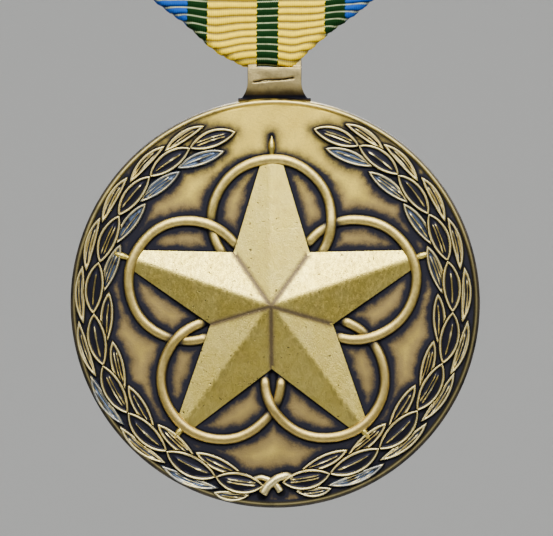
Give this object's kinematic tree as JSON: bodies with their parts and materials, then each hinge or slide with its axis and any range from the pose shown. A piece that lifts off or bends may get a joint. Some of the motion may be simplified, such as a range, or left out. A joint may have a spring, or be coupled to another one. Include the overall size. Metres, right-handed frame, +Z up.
{
  "type": "service medal",
  "caption": "Round bronze service medal with a faceted star, interlaced rings and a laurel wreath, hung by a slotted loop from a striped ribbed ribbon on a pin brooch.",
  "frame": {"origin": "centre of the raised pad on the back of the brooch plate, the face that rests on the coat", "axes": "+Z up along the hanging ribbon, +Y out of the back towards the coat, -Y out of the struck face, +X to the right seen from the front"},
  "size_m": [0.035, 0.0072, 0.0727],
  "materials": {
    "medal_bronze": "antiqued bronze, dark in the recesses and rubbed bright on the high parts",
    "loop_bronze": "antiqued bronze, satin",
    "brooch_brass": "bright brass, lightly tarnished",
    "pin_steel": "drawn steel wire",
    "ribbon_cloth": "ribbed grosgrain in blue, green and yellow stripes",
    "thread": "twisted sewing thread"
  },
  "bodies": {
    "brooch": {"brooch_plate": "brooch_brass", "tail_clamp": "brooch_brass", "hinge_bracket": "brooch_brass", "hinge_rivet": "brooch_brass", "catch_base": "brooch_brass", "ribbon_head": "ribbon_cloth"},
    "pin": {"pin_stem": "pin_steel"},
    "catch": {"catch_rotor": "brooch_brass"},
    "ribbon": {"ribbon_drape": "ribbon_cloth", "seam_stitches": "thread", "corner_stitch_left": "thread", "corner_stitch_right": "thread"},
    "medal": {"medal_disc": "medal_bronze", "suspension_loop": "loop_bronze"}
  },
  "joints": [
    {"name": "pin_hinge", "type": "hinge", "parent": "brooch", "child": "pin", "pos_m": [-0.013, 0.002, 0.0031], "axis": [0, 0, 1], "range_deg": [0, 75]},
    {"name": "catch_turn", "type": "hinge", "parent": "brooch", "child": "catch", "pos_m": [0.012, 0.002, 0.0031], "axis": [-1, 0, 0], "range_deg": [0, 95]},
    {"name": "ribbon_bend", "type": "hinge", "parent": "brooch", "child": "ribbon", "pos_m": [0, -0.00135, -0.0029], "axis": [-1, 0, 0], "range_deg": [-4, 60]},
    {"name": "loop_swing", "type": "hinge", "parent": "ribbon", "child": "medal", "pos_m": [0, -0.00135, -0.02587], "axis": [-1, 0, 0], "range_deg": [-25, 25]}
  ]
}
